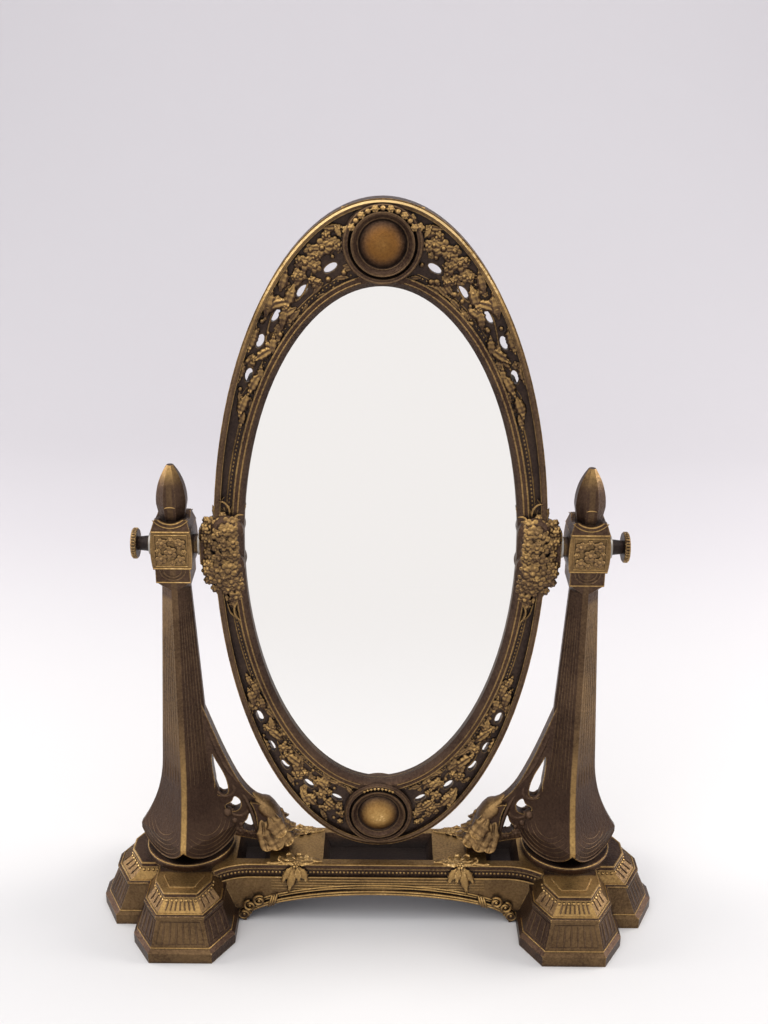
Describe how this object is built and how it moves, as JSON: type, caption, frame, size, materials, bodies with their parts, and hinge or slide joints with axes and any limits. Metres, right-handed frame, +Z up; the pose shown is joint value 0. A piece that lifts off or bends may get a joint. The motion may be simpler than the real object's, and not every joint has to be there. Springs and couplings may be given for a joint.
{
  "type": "tilting vanity mirror",
  "caption": "Oval vanity mirror in a cast floral frame, tilting on thumbscrews between square posts with bud finials and pierced brackets, on an arched cast stand.",
  "frame": {"origin": "middle of the footprint on the floor, midway between the posts", "axes": "+Z up, -Y towards the front (the glass faces -Y), +X to the right seen from the front"},
  "size_m": [0.304, 0.106, 0.3855],
  "materials": {
    "cast_metal": "bronze patina",
    "steel": "dull",
    "mirror": "polished",
    "card": "matte",
    "plate": "satin"
  },
  "bodies": {
    "stand": {"bridge": "cast_metal", "left_pedestal": "cast_metal", "left_post": "cast_metal", "left_finial": "cast_metal", "left_post_screw": "steel", "left_post_washer": "steel", "right_pedestal": "cast_metal", "right_post": "cast_metal", "right_finial": "cast_metal", "right_post_screw": "steel", "right_post_washer": "steel"},
    "mirror": {"mirror_frame": "cast_metal", "mirror_glass": "mirror", "backing_pad": "card", "back_plate": "plate", "retaining_clips": "steel", "clip_screws": "steel", "left_pivot_washer": "steel", "right_pivot_washer": "steel"},
    "left_clamp": {"left_knob_washer": "steel"},
    "left_screw": {"left_thumbscrew": "cast_metal"},
    "right_clamp": {"right_knob_washer": "steel"},
    "right_screw": {"right_thumbscrew": "cast_metal"}
  },
  "joints": [
    {"name": "mirror_tilt", "type": "hinge", "parent": "stand", "child": "mirror", "pos_m": [0, 0, 0.216], "axis": [1, 0, 0], "continuous": true},
    {"name": "left_thumbscrew_travel", "type": "slide", "parent": "mirror", "child": "left_clamp", "axis": [-1, 0, 0], "range_m": [0, 0.0008]},
    {"name": "left_thumbscrew_turn", "type": "hinge", "parent": "left_clamp", "child": "left_screw", "pos_m": [-0.1146, 0, 0.216], "axis": [-1, 0, 0], "range_deg": [0, 360]},
    {"name": "right_thumbscrew_travel", "type": "slide", "parent": "mirror", "child": "right_clamp", "axis": [1, 0, 0], "range_m": [0, 0.0008]},
    {"name": "right_thumbscrew_turn", "type": "hinge", "parent": "right_clamp", "child": "right_screw", "pos_m": [0.1146, 0, 0.216], "axis": [1, 0, 0], "range_deg": [0, 360]}
  ],
  "couplings": [
    {"joint": "left_thumbscrew_travel", "follows": "left_thumbscrew_turn", "m_per_rad": 0.00012732},
    {"joint": "right_thumbscrew_travel", "follows": "right_thumbscrew_turn", "m_per_rad": 0.00012732}
  ]
}
